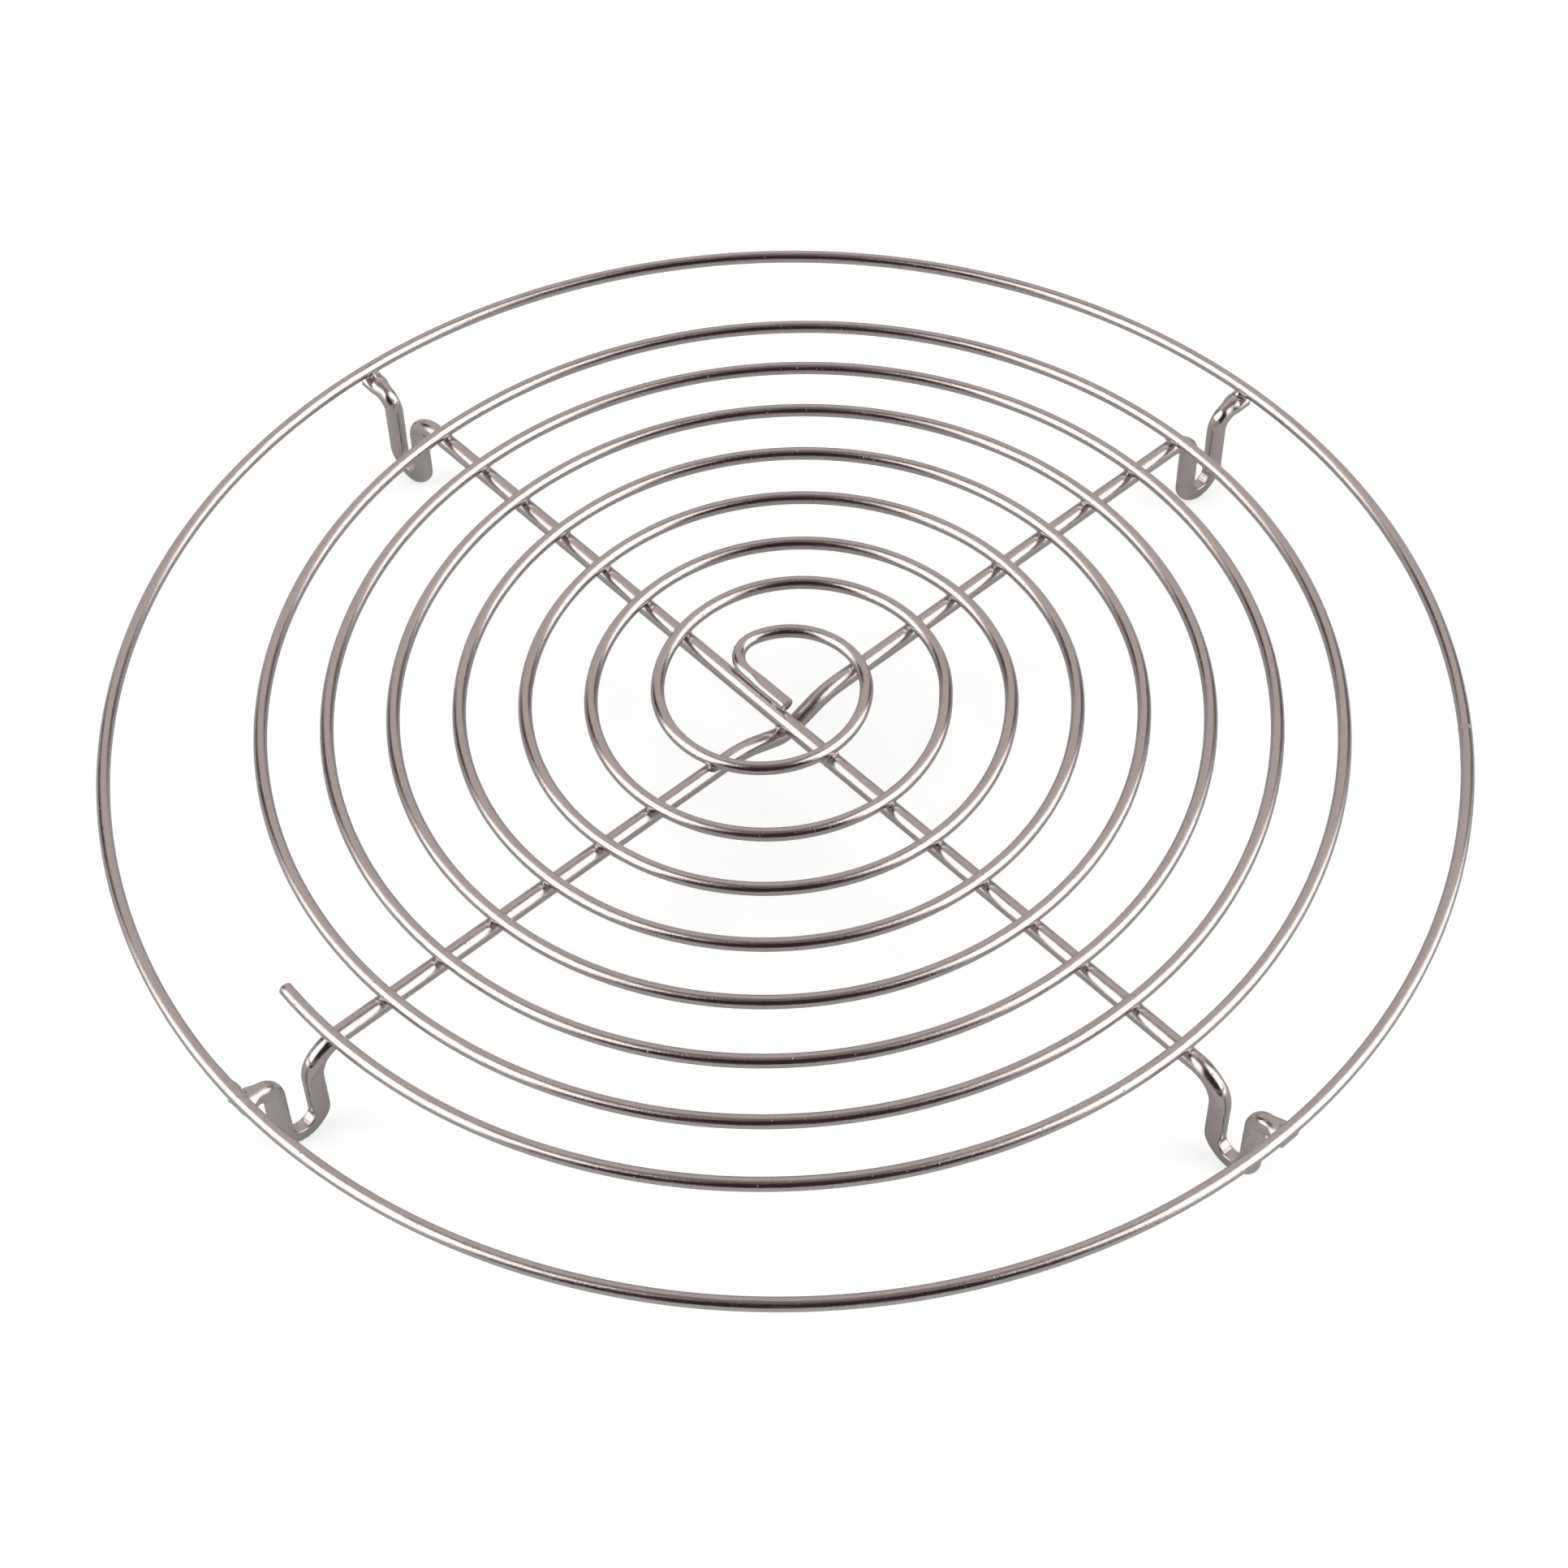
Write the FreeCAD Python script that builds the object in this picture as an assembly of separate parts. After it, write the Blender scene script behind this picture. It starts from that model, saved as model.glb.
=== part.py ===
import FreeCAD, Part
import math
import os

Vector = FreeCAD.Vector

# Round wire cooling rack. Millimetres, +Z up, origin on the floor at the rack's centre axis.
# Every piece is bare round wire: a rim ring and a flat coil, both resting on two crossbars that
# cross at the centre, whose ends are bent down into looped feet. Resistance welds hold them.

# Overall sizes
RACK_DIAMETER = 300.0            # outside of the rim ring
RACK_HEIGHT = 29.0               # floor to the top of the rim ring

# Wire gauges
RING_WIRE = 3.0
COIL_WIRE = 3.0
CROSSBAR_WIRE = 4.0

# Where crossing wires meet, the weld metal keeps their skins this far apart
WELD_GAP = 0.1

# Coil: half turns in front of its centre line and half turns behind it are centred half a pitch
# apart, so that the radius drops by one pitch each turn
RIM_GAP = 26.0                   # axis of the ring to axis of the outermost turn, on the right
COIL_PITCH_TARGET = 14.5         # spacing of the turns, adjusted so that a whole number fits
COIL_SHIFT = 4.2                 # centre line of the coil behind the rack's axis
LAST_REACH = 35.5                # rack axis to the last regular turn, on the right
EYE_SHIFT = 2.2                  # centre line of the innermost loop behind the coil's
EYE_REACH = 18.0                 # rack axis to the innermost loop, on the right
EYE_RADIUS = 17.0                # rear half of the innermost loop
COIL_OVERHANG = 14.5             # free outer end, measured past the crossbar that carries it
HOOK_START = 121.0               # degrees round the innermost loop where the end hooks back
TAIL_OFFSET = 1.5                # axis of the inner tail to axis of the straight crossbar
TAIL_END = 0.5                   # end of the tail short of the rack's axis

# Crossbars and their feet
STRAIGHT_DIRECTION = -45.0       # degrees from +X, seen from above
CRANKED_DIRECTION = 45.0
BAR_INSET = 1.0                  # end of a crossbar short of the outside of the ring
FOOT_INSET = 8.0                 # axis of the ring to axis of a foot's outer leg
FOOT_WIDTH = 9.5                 # leg axis to leg axis
INNER_SHOULDER = 7.5             # bend radii on the wire's axis
OUTER_SHOULDER = 4.5
OUTER_EASE = 28.0                # degrees of the outer shoulder, next to the ring, bent wider
OUTER_EASE_RADIUS = 9.8
CRANK_HALF_LENGTH = 16.5         # rack axis to where the cranked bar starts to dip
CRANK_SLOPE = 21.0               # degrees below level where it dips most steeply
CRANK_BEND = 8.5                 # bend radius on the wire's axis, under the straight bar

# Weld nuggets, as the radius of the ball of metal that the wires squeeze between them
COIL_WELD = 1.6
RING_WELD = 1.8
CENTRE_WELD = 1.9
TAIL_WELD = 1.5

ring_radius = (RACK_DIAMETER - RING_WIRE) / 2
ring_z = RACK_HEIGHT - RING_WIRE / 2
bar_z = RACK_HEIGHT - RING_WIRE - WELD_GAP - CROSSBAR_WIRE / 2
bar_top = bar_z + CROSSBAR_WIRE / 2
coil_z = bar_top + WELD_GAP + COIL_WIRE / 2
weld_z = bar_top + WELD_GAP / 2

coil_reach = ring_radius - RIM_GAP
coil_turns = round((coil_reach - LAST_REACH) / COIL_PITCH_TARGET)
coil_pitch = (coil_reach - LAST_REACH) / coil_turns


def flat(direction, distance, height):
    """Point at a distance from the rack's axis along a direction in degrees, at a height."""
    angle = math.radians(direction)
    return Vector(distance * math.cos(angle), distance * math.sin(angle), height)


def arc_edge(centre, radius, start, end, place):
    """Arc in a plane, from start to end in degrees about centre (u, v); place puts it in space."""
    points = []
    for angle in (start, (start + end) / 2, end):
        u = centre[0] + radius * math.cos(math.radians(angle))
        v = centre[1] + radius * math.sin(math.radians(angle))
        points.append(place(u, v))
    return Part.Arc(*points).toShape()


def wire_along(edges, normal, diameter):
    """Round wire of one diameter whose axis follows the edges, all in the plane with this normal."""
    path = Part.Wire(edges)
    first = edges[0]
    start = first.valueAt(first.FirstParameter)
    heading = first.tangentAt(first.FirstParameter)
    section = Part.Wire(Part.makeCircle(diameter / 2, start, heading))
    sweep = Part.BRepOffsetAPI.MakePipeShell(path)
    sweep.setBiNormalMode(normal)
    sweep.add(section)
    sweep.build()
    sweep.makeSolid()
    return sweep.shape()


# Coil

def reach(arc, direction):
    """How far from the rack's axis an arc's whole circle lies along a direction in degrees."""
    centre, radius, _, _ = arc
    angle = math.radians(direction)
    along = centre[0] * math.cos(angle) + centre[1] * math.sin(angle)
    return along + math.sqrt(radius ** 2 + along ** 2 - centre[0] ** 2 - centre[1] ** 2)


def bearing(centre, point):
    """Direction of a point seen from centre, from 0 to 360 degrees."""
    return math.degrees(math.atan2(point.y - centre[1], point.x - centre[0])) % 360


def coil_arcs():
    """The coil's arcs from its free outer end inwards: (centre, radius, start, end) in degrees."""
    offset = coil_pitch / 4
    arcs = []
    for turn in range(coil_turns + 1):
        radius = coil_reach - turn * coil_pitch + offset
        rear = COIL_SHIFT if turn < coil_turns else COIL_SHIFT + EYE_SHIFT
        arcs.append(((-offset, COIL_SHIFT), radius, 180, 360))
        arcs.append(((offset, rear), radius - 2 * offset, 0, 180))
    left = radius - 3 * offset
    closing = (left + EYE_REACH) / 2
    arcs.append(((EYE_REACH - closing, rear), closing, 180, 360))
    arcs.append(((EYE_REACH - EYE_RADIUS, rear), EYE_RADIUS, 0, HOOK_START))
    carrier = CRANKED_DIRECTION + 180
    centre, radius, _, end = arcs[0]
    crossing = bearing(centre, flat(carrier, reach(arcs[0], carrier), 0))
    arcs[0] = (centre, radius, crossing - math.degrees(COIL_OVERHANG / radius), end)
    return arcs


def coil_tail(eye_arc):
    """The inner end: a hook that turns back to a straight tail beside the straight crossbar.

    The hook's radius follows from where it leaves the innermost loop and from the tail's line,
    which runs parallel to the bar at TAIL_OFFSET from it.
    """
    centre, radius, _, leave = eye_arc
    across = STRAIGHT_DIRECTION + 90
    side = (math.cos(math.radians(across)), math.sin(math.radians(across)))
    cosine = math.cos(math.radians(leave - across))
    middle = centre[0] * side[0] + centre[1] * side[1]
    hook = (middle + radius * cosine - TAIL_OFFSET) / (1 + cosine)
    hook_centre = (
        centre[0] + (radius - hook) * math.cos(math.radians(leave)),
        centre[1] + (radius - hook) * math.sin(math.radians(leave)),
    )
    return hook_centre, hook, leave, across + 180


def coil_wire():
    def place(u, v):
        return Vector(u, v, coil_z)

    arcs = coil_arcs()
    arcs.append(coil_tail(arcs[-1]))
    edges = []
    for arc in arcs:
        edge = arc_edge(*arc, place)
        start = edge.valueAt(edge.FirstParameter)
        last = edges[-1].valueAt(edges[-1].LastParameter) if edges else start
        if last.distanceToPoint(start) > Part.Precision.confusion():
            edges.append(Part.makeLine(last, start))
        edges.append(edge)
    side = flat(STRAIGHT_DIRECTION + 90, TAIL_OFFSET, 0)
    tip = flat(STRAIGHT_DIRECTION, -TAIL_END, coil_z) + side
    edges.append(Part.makeLine(edges[-1].valueAt(edges[-1].LastParameter), tip))
    return wire_along(edges, Vector(0, 0, 1), COIL_WIRE)


# Crossbars

def foot_edges(place):
    """One foot, from the inner shoulder out to the bar's end: down, round, up and out again.

    The outer shoulder is a tight bend that eases into a wide one, level under the ring.
    """
    outer_leg = ring_radius - FOOT_INSET
    inner_leg = outer_leg - FOOT_WIDTH
    loop = FOOT_WIDTH / 2
    loop_z = CROSSBAR_WIRE / 2 + loop
    shoulder = arc_edge((inner_leg - INNER_SHOULDER, bar_z - INNER_SHOULDER),
                        INNER_SHOULDER, 90, 0, place)
    inner = Part.makeLine(place(inner_leg, bar_z - INNER_SHOULDER), place(inner_leg, loop_z))
    bottom = arc_edge((outer_leg - loop, loop_z), loop, 180, 360, place)
    turn = math.radians(90 + OUTER_EASE)
    wider = OUTER_EASE_RADIUS - OUTER_SHOULDER
    tight_centre = (outer_leg + OUTER_SHOULDER, bar_z - OUTER_EASE_RADIUS + wider * math.sin(turn))
    wide_centre = (tight_centre[0] - wider * math.cos(turn), bar_z - OUTER_EASE_RADIUS)
    outer = Part.makeLine(place(outer_leg, loop_z), place(outer_leg, tight_centre[1]))
    tight = arc_edge(tight_centre, OUTER_SHOULDER, 180, 90 + OUTER_EASE, place)
    wide = arc_edge(wide_centre, OUTER_EASE_RADIUS, 90 + OUTER_EASE, 90, place)
    end = Part.makeLine(place(wide_centre[0], bar_z),
                        place(RACK_DIAMETER / 2 - BAR_INSET, bar_z))
    return [shoulder, inner, bottom, outer, tight, wide, end]


def crank_edges(place):
    """Half of the dip under the straight bar: a tight bend, a straight slope, a wide bend to level.

    The two bends and the slope between them cover the half length and the depth exactly.
    """
    depth = CROSSBAR_WIRE + WELD_GAP
    sine, cosine = math.sin(math.radians(CRANK_SLOPE)), math.cos(math.radians(CRANK_SLOPE))
    both_bends = (CRANK_HALF_LENGTH * sine - depth * cosine) / (1 - cosine)
    shoulder = both_bends - CRANK_BEND
    low = (0, bar_z - depth + CRANK_BEND)
    high = (CRANK_HALF_LENGTH, bar_z - shoulder)
    dip = arc_edge(low, CRANK_BEND, 270, 270 + CRANK_SLOPE, place)
    slope = Part.makeLine(place(low[0] + CRANK_BEND * sine, low[1] - CRANK_BEND * cosine),
                          place(high[0] - shoulder * sine, high[1] + shoulder * cosine))
    level = arc_edge(high, shoulder, 90 + CRANK_SLOPE, 90, place)
    return [dip, slope, level]


def crossbar(direction, cranked):
    """A whole bar, built as two like halves from the rack's axis outwards and joined there."""
    halves = []
    for heading in (direction, direction + 180):
        def place(u, v):
            return flat(heading, u, v)

        edges = crank_edges(place) if cranked else []
        start = CRANK_HALF_LENGTH if cranked else 0
        shoulder = ring_radius - FOOT_INSET - FOOT_WIDTH - INNER_SHOULDER
        edges.append(Part.makeLine(place(start, bar_z), place(shoulder, bar_z)))
        edges.extend(foot_edges(place))
        halves.append(wire_along(edges, flat(heading - 90, 1, 0), CROSSBAR_WIRE))
    return halves[0].fuse(halves[1]).removeSplitter().Solids[0]


# Welds

def crossings(direction):
    """Where the coil passes over a crossbar half: distances from the rack's axis."""
    found = []
    for arc in coil_arcs():
        centre, _, start, end = arc
        distance = reach(arc, direction)
        if start <= bearing(centre, flat(direction, distance, 0)) <= end:
            found.append(distance)
    return found


def nuggets(points, radius, wires):
    """A ball of weld metal at each point, less the wires that it joins, as separate solids."""
    balls = [Part.makeSphere(radius, point) for point in points]
    return Part.Compound([ball.cut(wires).Solids[0] for ball in balls])


def coil_welds(direction, bar, coil):
    points = []
    for heading in (direction, direction + 180):
        points.extend(flat(heading, distance, weld_z) for distance in crossings(heading))
    return nuggets(points, COIL_WELD, [bar, coil])


def tail_weld(bar, coil):
    """Where the tail lies beside the straight bar, halfway between the two skins."""
    rise = coil_z - bar_z
    span = math.hypot(TAIL_OFFSET, rise)
    share = (CROSSBAR_WIRE / 2 + (span - (CROSSBAR_WIRE + COIL_WIRE) / 2) / 2) / span
    back = COIL_WIRE + TAIL_END
    point = flat(STRAIGHT_DIRECTION, -back, bar_z + share * rise)
    point += flat(STRAIGHT_DIRECTION + 90, share * TAIL_OFFSET, 0)
    return nuggets([point], TAIL_WELD, [bar, coil])


ring = Part.makeTorus(ring_radius, RING_WIRE / 2, Vector(0, 0, ring_z))
coil = coil_wire()
straight_bar = crossbar(STRAIGHT_DIRECTION, cranked=False)
cranked_bar = crossbar(CRANKED_DIRECTION, cranked=True)
bar_ends = [STRAIGHT_DIRECTION, CRANKED_DIRECTION, STRAIGHT_DIRECTION + 180, CRANKED_DIRECTION + 180]
ring_points = [flat(heading, ring_radius, weld_z) for heading in bar_ends]
centre_point = Vector(0, 0, bar_z - (CROSSBAR_WIRE + WELD_GAP) / 2)

nodes = {
    "outer_ring": ring,
    "coil_wire": coil,
    "straight_crossbar": straight_bar,
    "cranked_crossbar": cranked_bar,
    "ring_joint_welds": nuggets(ring_points, RING_WELD, [ring, straight_bar, cranked_bar]),
    "straight_crossbar_coil_welds": coil_welds(STRAIGHT_DIRECTION, straight_bar, coil),
    "cranked_crossbar_coil_welds": coil_welds(CRANKED_DIRECTION, cranked_bar, coil),
    "crossbar_centre_weld": nuggets([centre_point], CENTRE_WELD, [straight_bar, cranked_bar]),
    "coil_tail_weld": tail_weld(straight_bar, coil),
}

os.makedirs("parts", exist_ok=True)
for name, shape in nodes.items():
    shape.exportStep("parts/" + name + ".step")
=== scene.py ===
import math
import bpy
import numpy as np
from mathutils import Matrix, Vector


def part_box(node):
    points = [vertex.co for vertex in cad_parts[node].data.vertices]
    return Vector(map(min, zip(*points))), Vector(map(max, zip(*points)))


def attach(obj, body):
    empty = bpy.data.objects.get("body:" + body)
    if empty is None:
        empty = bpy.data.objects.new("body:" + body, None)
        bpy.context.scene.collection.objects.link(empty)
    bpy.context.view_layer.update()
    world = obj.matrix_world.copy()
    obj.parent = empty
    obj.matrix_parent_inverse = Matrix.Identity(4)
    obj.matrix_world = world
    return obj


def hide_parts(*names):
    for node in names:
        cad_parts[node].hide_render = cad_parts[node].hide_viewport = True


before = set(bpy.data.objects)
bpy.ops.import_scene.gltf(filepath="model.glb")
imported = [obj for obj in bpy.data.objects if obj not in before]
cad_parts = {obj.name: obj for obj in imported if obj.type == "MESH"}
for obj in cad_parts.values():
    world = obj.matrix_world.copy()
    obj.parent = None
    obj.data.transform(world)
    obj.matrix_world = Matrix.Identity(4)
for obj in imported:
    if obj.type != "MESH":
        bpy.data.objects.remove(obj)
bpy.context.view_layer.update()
bpy.context.scene.view_settings.view_transform = "Standard"
mm = 0.001


# Rim ring
# A hoop of 3 mm drawn steel wire, rolled round and butt-welded where its ends meet, close to
# the front left foot. The whole rack is plated bright after welding.

RING_WIRE = 3.0 * mm
RING_STATIONS = 840              # places round the hoop where its section is worked out
WIRE_SIDES = 24                  # points round the wire's section
BUTT_WELD_FROM = 220.6           # the stretch that the butt weld upset, degrees from +X
BUTT_WELD_TO = 224.4
BUTT_WELD_SWELL = 0.22 * mm
BUTT_WELD_FLASH = 0.5 * mm       # fin of squeezed-out metal on the hoop's inner side
BUTT_WELD_TINT = 0.55
FIN_SPREAD = 0.9 * mm
RING_HEAT = 2.2 * mm             # how far the tint of a weld under the ring spreads
WELD_TINT = 0.8                  # the strongest tint beside a weld
JOINT_DIRECTIONS = (45, 135, 225, 315)
NICKEL = (0.615, 0.572, 0.562)   # warm grey of nickel under a thin chrome flash
STAIN_AND_SHADE = (0.27, 0.225, 0.185)     # straw and brown tints that welding leaves; on the weld collars also painted shade round the beads
PIT = (0.20, 0.17, 0.15)

ring_low, ring_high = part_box("outer_ring")
ring_outer = ring_high.x
ring_radius = ring_outer - RING_WIRE / 2
ring_z = (ring_low.z + ring_high.z) / 2


def bent_axis(start, heading, bends, stations):
    """Axis of a wire that is bent in one plane: its points (u, v) and headings at some distances.

    bends lists (length, turn in degrees), and stations are distances from the wire's start.
    Within a bend of curvature k, after a length s, the heading has grown by k s and the point
    has moved by a chord of length s sinc(k s / 2) along the mean heading h + k s / 2.
    """
    lengths = np.array([length for length, _ in bends])
    curves = np.radians([turn for _, turn in bends]) / lengths
    knots = np.concatenate([[0], np.cumsum(lengths)])
    headings = heading + np.concatenate([[0], np.cumsum(curves * lengths)])

    def chord(h, k, s):
        mean = h + k * s / 2
        return (s * np.sinc(k * s / 2 / np.pi))[:, None] * np.stack([np.cos(mean), np.sin(mean)], 1)

    steps = chord(headings[:-1], curves, lengths)
    corners = np.array(start) + np.concatenate([[[0, 0]], np.cumsum(steps, 0)])
    at = np.clip(np.searchsorted(knots, stations, side="right") - 1, 0, len(bends) - 1)
    beyond = stations - knots[at]
    points = corners[at] + chord(headings[at], curves[at], beyond)
    return points, headings[at] + curves[at] * beyond


def wire_skin(axis, tangents, normal, side, rise):
    """Skin of a wire as a grid: axis(s) + side(s, a) * (tangent x normal) + rise(s, a) * normal.

    s runs along the wire and a round it; normal is square to the plane that the wire is bent in.
    """
    sideways = np.cross(tangents, normal)
    return axis[:, None] + side[..., None] * sideways[:, None] + rise[..., None] * np.array(normal)


def grid_faces(rows, columns, looped):
    """Quads between neighbouring grid points, closed round the columns.

    The rows close on themselves too if looped; if not, each end gets a flat cap, whose quads
    join the two halves of its rim like the teeth of a zip that starts an eighth of a turn round.
    """
    row = np.arange(rows if looped else rows - 1)[:, None]
    column = np.arange(columns)[None]
    after, beside = (row + 1) % rows * columns, (column + 1) % columns
    here = row * columns
    quads = np.stack([here + column, after + column, after + beside, here + beside], -1)
    quads = quads.reshape(-1, 4)
    if looped:
        return quads
    tooth = np.arange(columns // 2 - 1)
    cap = np.stack([tooth, tooth + 1, columns - 2 - tooth, columns - 1 - tooth], -1)
    cap = (cap + columns // 8) % columns
    return np.concatenate([quads, cap, cap[:, ::-1] + (rows - 1) * columns])


def new_piece(name, points, faces, **attributes):
    """Smooth mesh object from points in place and quads, with its attributes stored per point."""
    mesh = bpy.data.meshes.new(name)
    mesh.from_pydata(points.reshape(-1, 3), [], faces.tolist())
    for label, values in attributes.items():
        vector = values.ndim > points.ndim - 1
        kind, key = ("FLOAT_VECTOR", "vector") if vector else ("FLOAT", "value")
        mesh.attributes.new(label, kind, "POINT").data.foreach_set(key, values.ravel())
    mesh.shade_smooth()
    mesh.set_sharp_from_angle(angle=math.radians(50))
    piece = bpy.data.objects.new(name, mesh)
    bpy.context.scene.collection.objects.link(piece)
    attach(piece, "root")
    return piece


def around(columns):
    """Angles round a wire's section."""
    return np.linspace(0, 2 * np.pi, columns, endpoint=False)[None]


def wire_place(stations, angles, radius):
    """Where each skin point lies on its own wire, in millimetres: (r cos a, r sin a, s).

    Patterns read it, so that draw lines follow the wire through every bend without a seam.
    """
    s = np.broadcast_to(stations[:, None], (len(stations), angles.shape[1]))
    a = np.broadcast_to(angles, s.shape)
    return np.stack([radius * np.cos(a), radius * np.sin(a), s], -1) / mm


def hump(s, centre, spread):
    """Bell curve exp(-((s - centre) / spread)^2)."""
    return np.exp(-((s - centre) / spread) ** 2)


def s_curve(x):
    """3 x^2 - 2 x^3 with x held from 0 to 1."""
    x = np.clip(x, 0, 1)
    return x * x * (3 - 2 * x)


def window(s, begin, end, rise):
    """1 between begin and end, falling to 0 outside along an S-curve of length rise."""
    return s_curve(np.minimum(s - begin, end - s) / rise + 1)


def facing(cosine, least=0.15):
    """Share of a weld's tint on skin that faces it more or less squarely."""
    return least + (1 - least) * np.clip(cosine, 0, 1)


def add(tree, kind, inputs=None, **settings):
    """New node with its settings and inputs; an input is a value or another node's socket."""
    node = tree.nodes.new(kind)
    for name, value in settings.items():
        setattr(node, name, value)
    for name, value in (inputs or {}).items():
        if isinstance(value, bpy.types.NodeSocket):
            tree.links.new(value, node.inputs[name])
        else:
            node.inputs[name].default_value = value
    return node


def noise(tree, place, stretch, detail=3.0):
    """Noise from 0 to 1 with so many swells in a millimetre along each axis of place."""
    scaled = add(tree, "ShaderNodeVectorMath", {0: place, 1: stretch}, operation="MULTIPLY")
    inputs = {"Vector": scaled.outputs[0], "Scale": 1.0, "Detail": detail}
    return add(tree, "ShaderNodeTexNoise", inputs).outputs[0]


def ramp(tree, value, low, high, to_low=0.0, to_high=1.0):
    """Value from low to high, mapped to to_low to to_high along an S-curve and held outside."""
    inputs = {0: value, 1: low, 2: high, 3: to_low, 4: to_high}
    return add(tree, "ShaderNodeMapRange", inputs, interpolation_type="SMOOTHSTEP").outputs[0]


def maths(tree, operation, first, second):
    """One sum of two values."""
    return add(tree, "ShaderNodeMath", {0: first, 1: second}, operation=operation).outputs[0]


def mixed(tree, factor, first, second):
    """Mix of two colours."""
    inputs = {0: factor, 6: first, 7: second}
    return add(tree, "ShaderNodeMix", inputs, data_type="RGBA").outputs[2]


def plated_wire(name, tint):
    """Bright nickel and chrome over drawn wire: long fine draw lines, a satin grain, small pits.

    Roughness and bump come from noise stretched along the wire; the attribute of weld tint turns
    the plating duller and browner beside the welds.
    """
    material = bpy.data.materials.new(name)
    material.use_nodes = True
    tree = material.node_tree
    tree.nodes.clear()
    place = add(tree, "ShaderNodeAttribute", attribute_name="wire_place").outputs["Vector"]
    heat = add(tree, "ShaderNodeAttribute", attribute_name="heat").outputs["Fac"]
    draw_lines = noise(tree, place, (5.0, 5.0, 0.12))
    grain = noise(tree, place, (4.2, 4.2, 2.6), 3.0)
    clouds = noise(tree, place, (0.25, 0.25, 0.06), 2.0)
    specks = noise(tree, place, (1.7, 1.7, 1.2), 1.0)

    pits = ramp(tree, specks, 0.74, 0.80)
    cloudy = mixed(tree, ramp(tree, clouds, 0.35, 0.75, 0.0, 0.06), (*tint, 1), (*STAIN_AND_SHADE, 1))
    stained = mixed(tree, ramp(tree, heat, 0.05, 1.0, 0.0, 0.75), cloudy, (*STAIN_AND_SHADE, 1))
    colour = mixed(tree, maths(tree, "MULTIPLY", pits, 0.8), stained, (*PIT, 1))

    satin = ramp(tree, clouds, 0.3, 0.7, 0.13, 0.18)
    lined = maths(tree, "ADD", satin, ramp(tree, draw_lines, 0.3, 0.7, -0.03, 0.05))
    pitted = maths(tree, "MULTIPLY_ADD", pits, 0.3)
    tree.links.new(lined, pitted.node.inputs[2])
    dulled = maths(tree, "MULTIPLY_ADD", heat, 0.28)
    tree.links.new(pitted, dulled.node.inputs[2])

    height = maths(tree, "MULTIPLY_ADD", grain, 0.8)
    tree.links.new(draw_lines, height.node.inputs[2])
    sunk = maths(tree, "SUBTRACT", height, maths(tree, "MULTIPLY", pits, 2.0))
    bump = add(tree, "ShaderNodeBump", {"Height": sunk, "Strength": 1.0, "Distance": 0.030 * mm})
    shader = add(tree, "ShaderNodeBsdfPrincipled", {
        "Base Color": colour, "Metallic": 1.0, "Roughness": dulled, "Normal": bump.outputs[0]})
    add(tree, "ShaderNodeOutputMaterial", {"Surface": shader.outputs[0]})
    return material


def rim_ring():
    """Hoop of round section: r + swell along the butt weld, mostly low and inside, + a fin."""
    length = 2 * np.pi * ring_radius
    stations = np.linspace(0, length, RING_STATIONS, endpoint=False)
    points, headings = bent_axis((ring_radius, 0), np.pi / 2, [(length, 360)], stations)
    axis = np.column_stack([points, np.full(len(points), ring_z)])
    tangents = np.column_stack([np.cos(headings), np.sin(headings), np.zeros(len(headings))])
    angles = around(WIRE_SIDES)
    butt_from, butt_to = length * BUTT_WELD_FROM / 360, length * BUTT_WELD_TO / 360
    upset = window(stations, butt_from + 2 * mm, butt_to, 1.0 * mm)
    upset = (upset * np.clip((stations - butt_from) / (butt_to - butt_from), 0, 1))[:, None]
    uneven = 1 + 0.3 * np.sin(3 * angles + stations[:, None] / mm)
    low_inside = (1 - np.sin(angles)) * (0.6 - 0.4 * np.cos(angles))
    fin = BUTT_WELD_FLASH * hump(stations, butt_to, FIN_SPREAD)[:, None]
    inner = np.clip(-np.cos(angles), 0, 1) ** 3
    radius = RING_WIRE / 2 + BUTT_WELD_SWELL * upset * uneven * low_inside + fin * inner
    skin = wire_skin(axis, tangents, (0, 0, 1), radius * np.cos(angles), radius * np.sin(angles))
    joints = sum(hump(stations, length * d / 360, RING_HEAT) for d in JOINT_DIRECTIONS)
    welded = joints[:, None] * facing(-np.sin(angles), 0.35) * WELD_TINT
    heat = np.clip(welded + BUTT_WELD_TINT * upset, 0, 1)
    faces = grid_faces(len(stations), WIRE_SIDES, looped=True)
    place = wire_place(stations, angles, RING_WIRE / 2)
    return new_piece("rim_ring", skin, faces, wire_place=place, heat=heat)


ring = rim_ring()
ring.data.materials.append(plated_wire("plated ring wire", NICKEL))
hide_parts("outer_ring")


# Coil
# One length of 3 mm wire wound flat from its free end at the front left inwards, in half turns
# about two centres, then round a small eye and back in a hook whose tail lies by the centre.

COIL_WIRE = 3.0 * mm
RIM_GAP = 26.0 * mm              # ring axis to the outermost turn
LAST_REACH = 35.5 * mm           # how far the last full turn lies to the right
COIL_TURNS = 6
COIL_SHIFT = 4.2 * mm            # turns' centres, behind the rack's axis
EYE_SHIFT = 2.2 * mm             # eye's centre, behind the turns' centres
EYE_REACH = 18.0 * mm
EYE_RADIUS = 17.0 * mm
EYE_TURN = 121.0                 # degrees of the eye's inner arc before the hook
HOOK_END = 225.0                 # heading of the hook's tail, less a quarter turn, in degrees
TAIL_OFFSET = 1.5 * mm           # tail's axis, to one side of the straight crossbar's
TAIL_END = 0.5 * mm              # tail's tip, short of the rack's axis
COIL_OVERHANG = 14.5 * mm        # free end, past its last crossing
STRAIGHT_DIRECTION = -45.0       # the two crossbars, degrees from +X
CRANKED_DIRECTION = 45.0
COIL_STEP = 1.7 * mm
CUT_BEVEL = 0.15 * mm            # burred edge of a sheared end
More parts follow.
